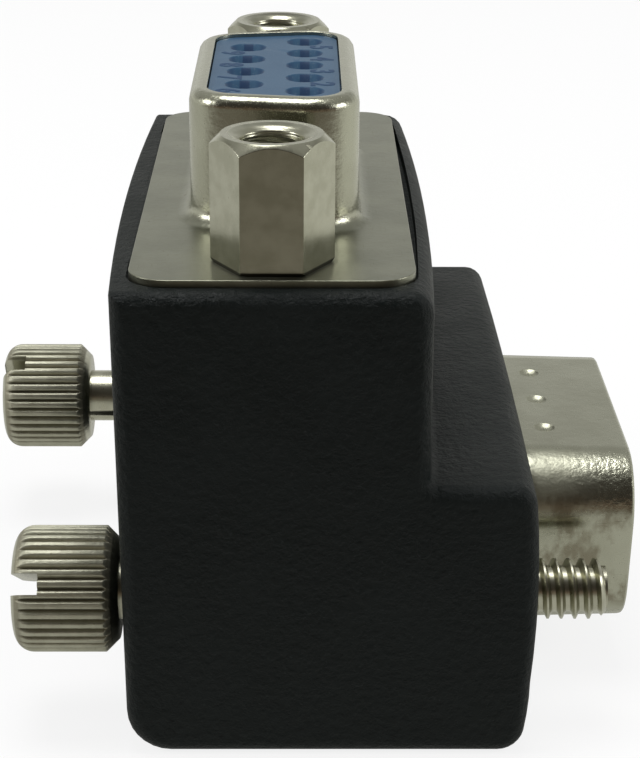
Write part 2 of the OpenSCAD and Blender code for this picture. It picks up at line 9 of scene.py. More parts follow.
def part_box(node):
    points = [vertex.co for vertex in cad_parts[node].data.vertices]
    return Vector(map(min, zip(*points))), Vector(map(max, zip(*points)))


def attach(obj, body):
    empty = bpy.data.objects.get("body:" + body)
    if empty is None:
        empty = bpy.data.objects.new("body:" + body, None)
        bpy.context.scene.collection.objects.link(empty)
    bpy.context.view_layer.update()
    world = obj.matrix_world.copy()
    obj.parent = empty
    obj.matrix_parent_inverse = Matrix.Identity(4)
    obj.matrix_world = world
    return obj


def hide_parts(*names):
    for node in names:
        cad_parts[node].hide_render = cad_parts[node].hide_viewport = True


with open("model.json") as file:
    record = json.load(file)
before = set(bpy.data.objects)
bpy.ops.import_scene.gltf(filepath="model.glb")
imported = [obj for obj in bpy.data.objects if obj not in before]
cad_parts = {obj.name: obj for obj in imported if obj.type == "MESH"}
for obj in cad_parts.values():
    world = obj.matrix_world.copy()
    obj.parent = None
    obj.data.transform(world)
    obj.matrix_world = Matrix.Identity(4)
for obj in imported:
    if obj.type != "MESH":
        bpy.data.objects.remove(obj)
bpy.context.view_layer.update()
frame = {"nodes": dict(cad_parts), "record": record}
mm = 0.001
print("frame loaded:", len(frame["nodes"]), "nodes")

# small wrapper round a socket, so that shader maths reads as a formula


class Value:
    def __init__(self, recipe, socket):
        self.recipe = recipe
        self.socket = socket

    def maths(self, operation, first, second):
        return self.recipe.node("ShaderNodeMath", {"operation": operation}, {0: first, 1: second})

    def __add__(self, other):
        return self.maths("ADD", self, other)

    def __sub__(self, other):
        return self.maths("SUBTRACT", self, other)

    def __rsub__(self, other):
        return self.maths("SUBTRACT", other, self)

    def __mul__(self, other):
        return self.maths("MULTIPLY", self, other)

    __radd__ = __add__
    __rmul__ = __mul__


class Recipe:
    def __init__(self, tree):
        self.tree = tree
        tree.nodes.clear()

    def node(self, kind, settings=None, inputs=None, output=0):
        made = self.tree.nodes.new(kind)
        for key, setting in (settings or {}).items():
            setattr(made, key, setting)
        for key, given in (inputs or {}).items():
            if isinstance(given, Value):
                self.tree.links.new(given.socket, made.inputs[key])
            elif made.inputs[key].type == "RGBA":
                made.inputs[key].default_value = (*given, 1)
            else:
                made.inputs[key].default_value = given
        return Value(self, made.outputs[output]) if len(made.outputs) else None

    # noise from 0 to 1 whose features are about size mm
    def noise(self, place, size, detail=2, roughness=0.5):
        return self.node("ShaderNodeTexNoise", None, {
            "Vector": place, "Scale": 1 / (size * mm), "Detail": detail, "Roughness": roughness})

    # smooth step from fromValue to toValue as value goes from low to high
    def band(self, value, low, high, fromValue=0.0, toValue=1.0):
        return self.node("ShaderNodeMapRange", {"interpolation_type": "SMOOTHSTEP"}, {
            "Value": value, "From Min": low, "From Max": high, "To Min": fromValue, "To Max": toValue})

    # a value without its sign
    def size(self, value):
        return self.node("ShaderNodeMath", {"operation": "ABSOLUTE"}, {0: value})

    # one coordinate of a place, direction or normal
    def along(self, vector, axis):
        return self.node("ShaderNodeSeparateXYZ", None, {"Vector": vector}, output=axis)

    # how long a vector is
    def length(self, vector):
        return self.node("ShaderNodeVectorMath", {"operation": "LENGTH"}, {0: vector}, output="Value")

    # from the first colour to the second; the node's colour sockets have the numbers 6, 7 and 2
    def blend(self, factor, first, second):
        return self.node("ShaderNodeMix", {"data_type": "RGBA"}, {
            "Factor": factor, 6: first, 7: second}, output=2)

    # a colour that drifts between two tones with a soft noise
    def drift(self, cloud, tones, low=0.3, high=0.7):
        return self.blend(self.band(cloud, low, high), *tones)

    # a place scaled along its axes and turned about z, for streaks
    def stretched(self, place, scale, turn=0.0):
        return self.node("ShaderNodeMapping", None, {
            "Vector": place, "Scale": scale, "Rotation": (0, 0, math.radians(turn))})

    # bump of depth mm from a height of 0 to 1
    def bump(self, height, depth):
        return self.node("ShaderNodeBump", None, {"Height": height, "Distance": depth * mm})


# paint gives the sockets that vary, and sockets the constant ones
def makeMaterial(name, paint, **sockets):
    material = bpy.data.materials.new(name)
    material.use_nodes = True
    recipe = Recipe(material.node_tree)
    place = recipe.node("ShaderNodeTexCoord", None, None, output="Object")
    shader = recipe.node("ShaderNodeBsdfPrincipled", None, {**sockets, **paint(recipe, place)})
    recipe.node("ShaderNodeOutputMaterial", None, {"Surface": shader})
    return material


# camera

camera = {
    "place": (1.29, -101.93, 50.79),  # mm
    "yaw": 0.53,  # degrees to the right
    "down": 20.69,
    "roll": -0.27,
    "lens": 100.8,
}


def makeCamera():
    yaw, down, roll = (math.radians(camera[k]) for k in ("yaw", "down", "roll"))
    ahead = Vector((math.sin(yaw) * math.cos(down), math.cos(yaw) * math.cos(down), -math.sin(down)))
    right = Vector((math.cos(yaw), -math.sin(yaw), 0))
    turn = Matrix.Rotation(roll, 3, ahead)
    axes = Matrix((turn @ right, turn @ right.cross(ahead), -ahead)).transposed().to_4x4()
    data = bpy.data.cameras.new("camera")
    data.lens = camera["lens"]
    data.sensor_width = 36
    data.clip_start = 5 * mm
    obj = bpy.data.objects.new("camera", data)
    obj.matrix_world = Matrix.Translation(Vector(camera["place"]) * mm) @ axes
    bpy.context.scene.collection.objects.link(obj)
    bpy.context.scene.camera = obj
    bpy.context.scene.view_settings.view_transform = "Standard"


# world, lamps and floor

studio = {
    "ambient": 0.6,  # strength of the world's light
    "white": (1, 1, 1),
    "mirrorSky": (0.40, 0.40, 0.38),  # what metal mirrors from above
    "mirrorSide": (0.80, 0.80, 0.76),  # from the horizon
    "mirrorNear": (0.240, 0.165, 0.120),  # from the near side, at the horizon
    "mirrorNearHigh": (0.040, 0.034, 0.028),  # and above it
    "nearHigh": (0.06, 0.26),  # where the darker tone begins and ends, as a direction along z
    "mirrorFlank": (0.17, 0.16, 0.14),  # from high on the left and the right
    "flank": (0.60, 0.88),  # where the flanks' tone begins and ends, as a direction along x
    "sky": (0.05, 0.55),  # where the sky's tone begins and ends, as a direction along z
    "near": (0.05, -0.55),  # where the near side's tone begins and ends, as a direction along y
    "lamps": {  # name: place in mm, size in mm, watts
        "lampAbove": ((-30, 40, 320), 170, 0.55),
        "lampLeft": ((-290, -40, 170), 130, 0.30),
        "lampRight": ((290, -40, 150), 130, 0.30),
    },
    "lookAt": (1, 0, 12),
    "floorSize": 4000,
    "floorColour": (0.85, 0.85, 0.85),
    "floorWhite": 0.84,  # share of plain white in what the camera sees of the floor
    "floorGloss": 0.9,  # share of the mirrored tone in what metal mirrors of it
    "floorMirror": (0.62, 0.62, 0.58),  # what metal mirrors of the floor
    "floorRightMirror": (0.76, 0.76, 0.70),  # and of its right side
    "floorRight": (20, 60),  # where that side begins and ends, mm along x
    "floorNearMirror": (0.150, 0.128, 0.093),  # and of the floor in front
    "floorNear": (-10, -90),  # where the floor's near tone begins and ends, mm along y
}


def makeWorld():
    world = bpy.data.worlds.new("studio")
    bpy.context.scene.world = world
    world.use_nodes = True
    recipe = Recipe(world.node_tree)
    rays = recipe.node("ShaderNodeLightPath").socket.node.outputs
    glossy = Value(recipe, rays["Is Glossy Ray"])
    seen = Value(recipe, rays["Is Camera Ray"]) + glossy + Value(recipe, rays["Is Transmission Ray"])
    direction = recipe.node("ShaderNodeTexCoord", None, None, output="Generated")
    alongX, alongY, alongZ = (recipe.along(direction, axis) for axis in "XYZ")
    height = recipe.band(alongZ, *studio["sky"])
    upper = recipe.blend(height, studio["mirrorSide"], studio["mirrorSky"])
    flank = height * recipe.band(recipe.size(alongX), *studio["flank"])
    upper = recipe.blend(flank, upper, studio["mirrorFlank"])
    high = recipe.band(alongZ, *studio["nearHigh"])
    near = recipe.blend(high, studio["mirrorNear"], studio["mirrorNearHigh"])
    mirrored = recipe.blend(recipe.band(alongY, *studio["near"]), upper, near)
    colour = recipe.blend(glossy, studio["white"], mirrored)
    light = recipe.node("ShaderNodeBackground", None, {"Strength": studio["ambient"]})
    backdrop = recipe.node("ShaderNodeBackground", None, {"Color": colour, "Strength": 1.0})
    mixed = recipe.node("ShaderNodeMixShader", None, {0: seen, 1: light, 2: backdrop})
    recipe.node("ShaderNodeOutputWorld", None, {"Surface": mixed})


def makeLamps():
    for name, (place, size, watts) in studio["lamps"].items():
        data = bpy.data.lights.new(name, "AREA")
        data.energy = watts
        data.shape = "DISK"
        data.size = size * mm
        obj = bpy.data.objects.new(name, data)
        spot = Vector(place) * mm
        aim = (Vector(studio["lookAt"]) * mm - spot).to_track_quat("-Z", "Y")
        obj.matrix_world = Matrix.Translation(spot) @ aim.to_matrix().to_4x4()
        bpy.context.scene.collection.objects.link(obj)


def makeFloor():
    material = bpy.data.materials.new("floor")
    material.use_nodes = True
    recipe = Recipe(material.node_tree)
    rays = recipe.node("ShaderNodeLightPath").socket.node.outputs
    glossy = Value(recipe, rays["Is Glossy Ray"])
    place = recipe.node("ShaderNodeTexCoord", None, None, output="Object")
    nearness = recipe.band(recipe.along(place, "Y"), *(y * mm for y in studio["floorNear"]))
    right = recipe.band(recipe.along(place, "X"), *(x * mm for x in studio["floorRight"]))
    around = recipe.blend(right, studio["floorMirror"], studio["floorRightMirror"])
    mirrored = recipe.blend(nearness, around, studio["floorNearMirror"])
    matt = recipe.node("ShaderNodeBsdfDiffuse", None, {"Color": studio["floorColour"]})
    plain = recipe.node("ShaderNodeEmission", None, {
        "Color": recipe.blend(glossy, studio["white"], mirrored), "Strength": 1.0})
    share = Value(recipe, rays["Is Camera Ray"]) * studio["floorWhite"] + glossy * studio["floorGloss"]
    mixed = recipe.node("ShaderNodeMixShader", None, {0: share, 1: matt, 2: plain})
    recipe.node("ShaderNodeOutputMaterial", None, {"Surface": mixed})
    bm = bmesh.new()
    bmesh.ops.create_grid(bm, x_segments=1, y_segments=1, size=studio["floorSize"] / 2 * mm)
    mesh = bpy.data.meshes.new("floor")
    bm.to_mesh(mesh)
    bm.free()
    mesh.materials.append(material)
    floor = bpy.data.objects.new("floor", mesh)
    bpy.context.scene.collection.objects.link(floor)


makeCamera()
makeWorld()
makeLamps()
makeFloor()
print("camera and studio done")

# materials

mouldMark = {
    "x": 6.7,  # mm, middle of the round end
    "z": 10.35,
    "radius": 0.31,
    "line": 0.07,  # half the width of the line
    "height": 0.65,
    "nearY": -16.2,
    "soft": 0.1,  # over which it fades out
    "relief": 1.2,  # times the grain's depth
}


# small U-shaped line on the near face, left by the mould
def markLine(r, place):
    x, y, z = (r.along(place, axis) for axis in "XYZ")
    below = r.node("ShaderNodeMath", {"operation": "MINIMUM"}, {0: z - mouldMark["z"] * mm, 1: 0.0})
    spot = r.node("ShaderNodeCombineXYZ", None, {"X": x - mouldMark["x"] * mm, "Y": 0.0, "Z": below})
    line = r.band(r.size(r.length(spot) - mouldMark["radius"] * mm), mouldMark["line"] * mm, 0.01 * mm)
    top, nearY = mouldMark["z"] + mouldMark["height"], mouldMark["nearY"]
    under = r.band(z, top * mm, (top - mouldMark["soft"]) * mm)
    return line * under * r.band(y, nearY * mm, (nearY - mouldMark["soft"]) * mm)


blackMoulding = {
    "grain": 0.42,  # mm, size of the leather-like grain
    "depth": 0.044,
    "fine": 0.11,  # size of the fine texture on it
    "tones": ((0.0018, 0.0044, 0.0040), (0.0034, 0.0062, 0.0057)),
    "dust": (0.026, 0.032, 0.030),
    "roughness": (0.44, 0.52),
}


# moulded plastic with the leather-like grain of an eroded mould
def paintBlack(r, place):
    grain = r.noise(place, blackMoulding["grain"], 4, 0.66)
    fine = r.noise(place, blackMoulding["fine"], 2)
    cloud = r.noise(place, 4.0, 3)
    dust = r.band(r.noise(place, 0.16, 1), 0.72, 0.78)
    tone = r.drift(cloud, blackMoulding["tones"], 0.35)
    height = r.band(grain, 0.34, 0.66) + fine * 0.5 + markLine(r, place) * mouldMark["relief"]
    return {
        "Base Color": r.blend(dust * 0.3, tone, blackMoulding["dust"]),
        "Roughness": r.band(cloud, 0.3, 0.7, *blackMoulding["roughness"]) + grain * 0.10,
        "Normal": r.bump(height, blackMoulding["depth"]),
    }


nickelSheet = {
    "bright": ((0.385, 0.385, 0.300), (0.440, 0.442, 0.352)),
    "shadedFlange": ((0.225, 0.230, 0.175), (0.290, 0.294, 0.232)),  # the flange on top, its tone painted darker as shade
    # brown of the blotches on upright faces: partly stains, partly a painted reflection
    "stainAndReflection": (0.150, 0.120, 0.075),
    "speck": (0.16, 0.13, 0.09),
    "flange": (0.95, 0.50),  # mm above the shell's lowest point, where the flange's top ends
    "side": (12.0, 12.8),  # mm along x, where the side shell begins
    "openEnd": (13.6, 16.2),  # and where its open end begins
    "bent": (0.05, 0.5),  # from a flat face to a full bend, as products of the normal's parts
    "upright": (0.60, 0.30),  # from a sloping face to an upright one, as a part of the normal
    "blotch": (1.5, 0.46, 0.64),  # size in mm of the stains' noise, and where they begin and are full
    "stainedAndReflecting": (0.20, 0.45),  # share of the brown tone, stain and painted reflection, on upright faces, and more on the side shell
    "depth": 0.006,  # of the uneven skin
    "roughness": 0.13,
    "flangeRoughness": 0.10,  # added on the flange
    "bendRoughness": 0.16,  # added on the side shell's bends, apart from the open end
}


# drawn sheet with bright nickel on it: an uneven skin that is crinkled where the sheet was bent, a few
# scratches and specks, brown blotches on the upright faces, most on the side shell, partly stains and partly
# a painted brown reflection, and a rougher flange on top whose tone is painted darker as shade
def paintNickel(r, place):
    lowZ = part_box("female_front_shell")[0].z
    alongX, alongZ = (r.along(place, axis) for axis in "XZ")
    onSide = r.band(alongX, *(x * mm for x in nickelSheet["side"]))
    openEnd = r.band(alongX, *(x * mm for x in nickelSheet["openEnd"]))
    underTop = r.band(alongZ, *(lowZ + z * mm for z in nickelSheet["flange"]))
    onFlange = underTop * r.band(alongZ, lowZ - 2 * mm, lowZ - mm)
    normal = r.node("ShaderNodeNewGeometry", None, None, output="Normal")
    nx, ny, nz = (r.size(r.along(normal, axis)) for axis in "XYZ")
    bent = r.band(nx * ny + ny * nz + nz * nx, *nickelSheet["bent"])
    upright = r.band(nz, *nickelSheet["upright"]) * r.band(nx, *nickelSheet["upright"])
    blotchSize, blotchFrom, blotchTo = nickelSheet["blotch"]
    blotch = r.band(r.noise(r.stretched(place, (1, 1, 0.6)), blotchSize, 4, 0.62), blotchFrom, blotchTo)
    everywhere, more = nickelSheet["stainedAndReflecting"]
    # brown blotches on faces along y: partly stains, partly a painted reflection of the brown near side
    stainAndReflection = blotch * upright * (onSide * more + everywhere)
    crinkle = r.noise(place, 0.30, 3, 0.6)
    mottle = r.noise(place, 0.42, 3, 0.55)
    cloud = r.noise(place, 2.4, 3)
    skin = r.noise(place, 0.20, 3, 0.6)
    wave = r.noise(place, 1.1, 2)
    scratchA = r.band(r.noise(r.stretched(place, (1, 0.04, 1), 24), 0.05, 2), 0.64, 0.74)
    scratchB = r.band(r.noise(r.stretched(place, (0.05, 1, 1), -15), 0.06, 2), 0.66, 0.76)
    speck = r.band(r.noise(place, 0.20, 1), 0.77, 0.81)
    # the flange gets a tone painted darker as shade
    tone = r.blend(onFlange, r.drift(cloud, nickelSheet["bright"]), r.drift(cloud, nickelSheet["shadedFlange"]))
    stainedAndReflecting = r.blend(stainAndReflection, tone, nickelSheet["stainAndReflection"])
    worn = cloud * 0.12 + skin * 0.10 + scratchA * 0.10 + scratchB * 0.08 + speck * 0.2
    onBend = bent * onSide * (1 - openEnd)
    rubbed = onFlange * nickelSheet["flangeRoughness"] + onBend * nickelSheet["bendRoughness"]
    height = skin * 0.5 + wave + mottle * 1.4 + crinkle * bent * (openEnd * 4.0 + 3.5)
    pits = scratchA * 0.3 + scratchB * 0.3 + speck * 0.8
    return {
        "Base Color": r.blend(speck * 0.6, stainedAndReflecting, nickelSheet["speck"]),
        "Roughness": worn + rubbed + nickelSheet["roughness"],
        "Normal": r.bump(height - pits, nickelSheet["depth"]),
    }


# distance from the axis of a far piece or of its near twin, across the two directions named
def distanceFrom(r, place, node, across):
    axis = (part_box(node)[0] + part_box(node)[1]) / 2
    spot = {name: 0.0 for name in "XYZ"}
    for name in across:
        along = r.along(place, name)
        spot[name] = (r.size(along) if name == "Y" else along) - getattr(axis, name.lower())
    return r.length(r.node("ShaderNodeCombineXYZ", None, spot))


screwPlating = {
    "clean": ((0.420, 0.414, 0.324), (0.500, 0.494, 0.395)),
    "grime": (0.20, 0.17, 0.11),
    # tone of the grime and painted shade in the knurl's valleys
    "valley": (0.16, 0.135, 0.09),
    "valleyShare": 0.45,  # of that tone at the bottom
    "valleyDepth": (0.07, 0.17),  # mm under the crests, over which the valleys' tone sets in
    "knurlFrom": (0.40, 0.30),  # mm under the crests, where the knurl begins
    "roughness": 0.20,
    "knurlRoughness": 0.24,  # added on the knurl
    "knurlGrit": 10.0,  # how much stronger the fine bump is there
    "depth": 0.0022,
}


# plating on the thumbscrews: fine rings round the shank, and a rougher knurl with grime and painted shade in
# its valleys
def paintThumbscrew(r, place):
    low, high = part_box("jackscrew_near")
    crest = (high.z - low.z) / 2
    radius = distanceFrom(r, place, "jackscrew_far", "YZ")
    onKnurl = r.band(radius, *(crest - depth * mm for depth in screwPlating["knurlFrom"]))
    # grime and painted shade in the knurl's valleys
    valley = onKnurl * r.band(radius, *(crest - depth * mm for depth in screwPlating["valleyDepth"]))
    rings = r.noise(r.stretched(place, (1, 0.02, 0.02)), 0.05, 3)
    cloud = r.noise(place, 0.9, 3)
    skin = r.noise(place, 0.12, 3, 0.6)
    clean = r.drift(cloud, screwPlating["clean"])
    grimy = r.blend(r.band(skin, 0.62, 0.74) * 0.5, clean, screwPlating["grime"])
    worn = cloud * 0.10 + rings * 0.08 + onKnurl * screwPlating["knurlRoughness"]
    grit = skin * (onKnurl * screwPlating["knurlGrit"] + 0.5)
    return {
        "Base Color": r.blend(valley * screwPlating["valleyShare"], grimy, screwPlating["valley"]),
        "Roughness": worn + screwPlating["roughness"],
        "Normal": r.bump(rings * 0.6 + grit, screwPlating["depth"]),
    }


standoffPlating = {
    "clean": ((0.380, 0.378, 0.292), (0.452, 0.450, 0.358)),
    "marks": (0.20, 0.17, 0.11),
    # painted shadow where the hexagon stands on the flange
    "foot": (0.02, 0.018, 0.014),
    "footLine": (0.63, 0.58),  # mm above the shell's lowest point, where the painted shadow line ends
    "hole": (2.0, 1.9),  # mm, radius inside which the turning rings show
    "ringPitch": 0.17,
    "roughness": 0.12,
    "holeRoughness": 0.08,  # added inside the hole
    "depth": 0.0022,
}


# milled standoffs: fine rings round the axis, coarser ones in the hole, and a painted shadow line where the
# hexagon stands on the flange
def paintStandoff(r, place):
    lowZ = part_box("female_front_shell")[0].z
    alongZ = r.along(place, "Z")
    # painted shadow line at the hexagon's foot
    foot = r.band(alongZ, *(lowZ + z * mm for z in standoffPlating["footLine"]))
    radius = distanceFrom(r, place, "standoff_far", "XY")
    inside = r.band(radius, *(reach * mm for reach in standoffPlating["hole"]))
    angle = alongZ * (2 * math.pi / (standoffPlating["ringPitch"] * mm))
    turned = r.node("ShaderNodeMath", {"operation": "SINE"}, {0: angle})
    rings = r.noise(r.stretched(place, (0.15, 0.15, 1)), 0.09, 3)
    cloud = r.noise(place, 0.9, 3)
    skin = r.noise(place, 0.10, 2)
    clean = r.drift(cloud, standoffPlating["clean"])
    marked = r.blend(r.band(skin, 0.68, 0.78) * 0.5, clean, standoffPlating["marks"])
    worn = cloud * 0.10 + rings * 0.10 + inside * standoffPlating["holeRoughness"]
    height = rings * 0.8 + skin * 0.5 + (rings * 3.0 + turned * 2.6) * inside
    return {
        "Base Color": r.blend(foot * 0.9, marked, standoffPlating["foot"]),
        "Roughness": worn + standoffPlating["roughness"],
        "Normal": r.bump(height, standoffPlating["depth"]),
    }


blueFace = {
    "tones": ((0.026, 0.074, 0.140), (0.034, 0.086, 0.154)),
    "fibre": (0.09, 0.14, 0.20),
    # tone of the painted shade in the holes' cones
    "coneShade": (0.012, 0.030, 0.085),
    "row": 1.42,  # mm from the middle to each row of holes
    "shadeStreak": (0.26, 0.21),  # from the row, where the painted streak of shade in a hole's cone begins
    "streakShare": 0.75,  # of the cone's tone in it
    "sides": (0.45, 0.75),  # from the row, where the cones' flanks get painted shade
    "sideShare": 0.55,
    "cones": (0.01, 0.06),  # depth at which the cones' painted shade sets in
    "roughness": 0.34,
    "numberTones": ((0.006, 0.034, 0.092), (0.012, 0.048, 0.118)),
}


# satin blue moulding whose cones are painted darker as shade, most of all along their middle
def paintBlue(r, place):
    fibre = r.noise(r.stretched(place, (1, 0.3, 1), 35), 0.10, 3)
    cloud = r.noise(place, 2.0, 2)
    flat = r.blend(r.band(fibre, 0.56, 0.72) * 0.5, r.drift(cloud, blueFace["tones"]), blueFace["fibre"])
    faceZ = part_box("female_front_insulator")[1].z
    offAxis = r.size(r.size(r.along(place, "X")) - blueFace["row"] * mm)
    inside = r.band(r.along(place, "Z"), *(faceZ - depth * mm for depth in blueFace["cones"]))
    shadeStreak = r.band(offAxis, *(reach * mm for reach in blueFace["shadeStreak"]))
    sides = r.band(offAxis, *(reach * mm for reach in blueFace["sides"]))
    # painted shade in the holes' cones, darkest along their middle
    share = inside * (shadeStreak * blueFace["streakShare"] + sides * blueFace["sideShare"])
    return {
        "Base Color": r.blend(share, flat, blueFace["coneShade"]),
        "Roughness": fibre * 0.12 + blueFace["roughness"],
        "Normal": r.bump(fibre + cloud * 0.4, 0.004),
    }


# darker blue of the raised numbers
def paintNumbers(r, place):
    fibre = r.noise(place, 0.08, 2)
    return {
        "Base Color": r.blend(fibre, *blueFace["numberTones"]),
        "Roughness": fibre * 0.1 + 0.42,
    }


darkMoulding = {
    "tones": ((0.014, 0.016, 0.018), (0.028, 0.030, 0.033)),
    "roughness": 0.40,
}


def paintDarkMoulding(r, place):
    fibre = r.noise(place, 0.09, 3)
    return {
        "Base Color": r.blend(fibre, *darkMoulding["tones"]),
        "Roughness": fibre * 0.15 + darkMoulding["roughness"],
        "Normal": r.bump(fibre, 0.004),
    }


# plain metal that drifts between two tones over size mm
def paintMetal(low, high, roughness, size):
    def paint(r, place):
        cloud = r.noise(place, size, 3)
        fine = r.noise(place, size / 9, 2)
        return {
            "Base Color": r.drift(cloud, (low, high)),
            "Roughness": cloud * 0.12 + fine * 0.06 + roughness,
            "Normal": r.bump(fine, 0.0012),
        }
    return paint


shiny = {"Metallic": 1.0}
satin = {"Specular IOR Level": 0.20}
paintGold = paintMetal((0.80, 0.58, 0.24), (0.90, 0.70, 0.36), 0.18, 0.5)
paintTin = paintMetal((0.52, 0.50, 0.46), (0.66, 0.64, 0.60), 0.32, 0.6)
paintBrass = paintMetal((0.55, 0.40, 0.16), (0.70, 0.54, 0.25), 0.26, 0.6)
paintSteel = paintMetal((0.36, 0.36, 0.34), (0.48, 0.48, 0.46), 0.28, 0.5)
materials = {
    "black_plastic": makeMaterial("blackPlastic", paintBlack, **satin),
    "nickel_plate": makeMaterial("nickelPlate", paintNickel, **shiny),
    "nickel_screw": makeMaterial("nickelScrew", paintThumbscrew, **shiny),
    "blue_plastic": makeMaterial("bluePlastic", paintBlue, **satin),
    "dark_insulator": makeMaterial("darkInsulator", paintDarkMoulding),
    "contact_gold": makeMaterial("contactGold", paintGold, **shiny),
    "tinned_copper": makeMaterial("tinnedCopper", paintTin, **shiny),
    "brass": makeMaterial("brass", paintBrass, **shiny),
    "spring_steel": makeMaterial("springSteel", paintSteel, **shiny),
}
standoffNickel = makeMaterial("standoffNickel", paintStandoff, **shiny)
numberBlue = makeMaterial("numberBlue", paintNumbers, **{"Specular IOR Level": 0.15})
slotOf = {part["node"]: part["material_slot"] for part in frame["record"]["subparts"]}
bodyOf = {node: body for body, nodes in frame["record"]["behaviour"]["bodies"].items() for node in nodes}
for nodeName, obj in frame["nodes"].items():
    obj.data.materials.clear()
    obj.data.materials.append(materials[slotOf[nodeName]])
print("materials done:", len(materials), "slots")

# pieces

joinWithin = 0.0005  # mm, points closer than this are one
flatWithin = 0.4  # degrees, faces that meet at less are one


# edge is a rounding in mm, and even keeps flat faces flat without one
def addPiece(bm, name, body, slot, material, smooth, edge=0.0, even=False):
    mesh = bpy.data.meshes.new(name)
    bm.to_mesh(mesh)
    bm.free()
    mesh.materials.clear()
    mesh.materials.append(material or materials[slot])
    mesh.polygons.foreach_set("use_smooth", [True] * len(mesh.polygons))
    mesh.set_sharp_from_angle(angle=math.radians(smooth))
    piece = bpy.data.objects.new(name, mesh)
    bpy.context.scene.collection.objects.link(piece)
    if edge:
        bevel = piece.modifiers.new("edge", "BEVEL")
        bevel.width = edge * mm
        bevel.segments = 2
        bevel.limit_method = "ANGLE"
        bevel.angle_limit = math.radians(smooth)
    if edge or even:
        normals = piece.modifiers.new("normals", "WEIGHTED_NORMAL")
        normals.keep_sharp = True
        normals.weight = 100
    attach(piece, body)
    return piece


def joinFlat(bm):
    angle = math.radians(flatWithin)
    bmesh.ops.dissolve_limit(bm, angle_limit=angle, verts=bm.verts[:], edges=bm.edges[:])


# a node's mesh with its loose triangles joined and its flat faces made whole
def copyOf(node):
    bm = bmesh.new()
    bm.from_mesh(frame["nodes"][node].data)
    bmesh.ops.remove_doubles(bm, verts=bm.verts[:], dist=joinWithin * mm)
    joinFlat(bm)
    return bm


# adds a piece in a node's place
def replaceNode(bm, node, name, smooth, edge=0.0, even=False, material=None):
    piece = addPiece(bm, name, bodyOf[node], slotOf[node], material, smooth, edge, even)
    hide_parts(node)


# adds the other mesh's faces and frees it
def joinInto(bm, other):
    mesh = bpy.data.meshes.new("joined")
    other.to_mesh(mesh)
    other.free()
    bm.from_mesh(mesh)
    bpy.data.meshes.remove(mesh)


# cuts away what lies beyond a plane and closes the cut
def trim(bm, spot, normal):
    geometry = bm.verts[:] + bm.edges[:] + bm.faces[:]
    bmesh.ops.bisect_plane(bm, geom=geometry, dist=1e-8, plane_co=spot, plane_no=normal, clear_outer=True)
    bmesh.ops.holes_fill(bm, edges=[e for e in bm.edges if e.is_boundary], sides=0)


# takes the cutter away, frees both and gives the result
def subtract(bm, cutter):
    objects = []
    for part in (bm, cutter):
        mesh = bpy.data.meshes.new("cut")
        part.to_mesh(mesh)
        part.free()
        objects.append(bpy.data.objects.new("cut", mesh))
        bpy.context.scene.collection.objects.link(objects[-1])
    modifier = objects[0].modifiers.new("cut", "BOOLEAN")
    modifier.operation = "DIFFERENCE"
    modifier.object = objects[1]
    result = bmesh.new()
    result.from_object(objects[0], bpy.context.evaluated_depsgraph_get())
    for obj in objects:
        bpy.data.meshes.remove(obj.data)
    return result


print("tools for pieces ready")

# housing, shells and the blue face

housing = {
    "oldRound": 1.0,  # rounding of the back's top edge in the solid
    "round": 0.22,  # crisper edge, as moulded
    "crown": 0.45,  # how far the back bows inwards at its ends
    "rim": 1.2,  # height of the rim round the flange
    "recess": 6.375,  # half the width of the top recess at its ends
    "oldBow": 0.30,  # how far the recess bows beside the flange
    "bow": 0.12,
    "recessEnd": 13.6,  # from the middle to where the recess's corners begin
    "fit": 0.02,  # how closely a point has to lie on the solid's outline to be moved
    "flatFrom": 0.3,  # points of the old rounding this near its inner end go to the flat top
    "leastReach": 0.2,  # from the old rounding's centre; nearer points stay
    "leastRound": 0.02,
}


# crisper back edge of the rim, and a narrower slit beside the flange
def dressHousing():
    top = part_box("housing")[1].z
    bm = copyOf("housing")
    halfLength = max(v.co.y for v in bm.verts) / mm
    side = min(v.co.x for v in bm.verts if abs(v.co.y) < 0.5 * mm and v.co.z > top - 3 * mm) / mm
    old, new, fit = housing["oldRound"], housing["round"], housing["fit"]
    for v in bm.verts:
        x, y, z = v.co / mm
        outer = side + housing["crown"] * (y / halfLength) ** 2
        spanX, spanZ = x - outer - old, z - top / mm + old
        q = 1 - (y / housing["recessEnd"]) ** 2
        onWall = abs(-x - housing["recess"] - housing["oldBow"] * q) < fit
        if q > 0 and onWall and z > top / mm - housing["rim"]:
            v.co.x = -(housing["recess"] + housing["bow"] * q) * mm
            if spanX < 0 and spanZ > 0.1:
                v.co.z = top
        elif spanX < 0.001 and spanZ > -0.001:
            reach = math.hypot(spanX, spanZ)
            if abs(reach - old) < fit and spanX > -housing["flatFrom"]:
                v.co.z = top
            elif reach > housing["leastReach"]:
                inset = old - reach
                radius = max(new - inset, housing["leastRound"])
                v.co.x = (outer + inset + radius + radius * spanX / reach) * mm
                v.co.z = (top / mm - inset - radius + radius * spanZ / reach) * mm
    replaceNode(bm, "housing", "housingMoulding", 50, edge=0.08)


dressHousing()

sideShell = {
    "sheet": 0.45,
    "halfHeight": 4.68,  # from the axis to the long side's outside, at the flange
    "draft": 1.2,  # degrees
    "dimplePitch": 3.87,
    "oldDimples": (2.3, 0.67),  # height above the flange and radius, in the solid
    "oldDepths": (0.004, 0.3),  # between which their points lie
    "dimpleHeight": 1.95,
    "dimpleRadius": 0.52,
    "dimpleDepth": 0.17,
}


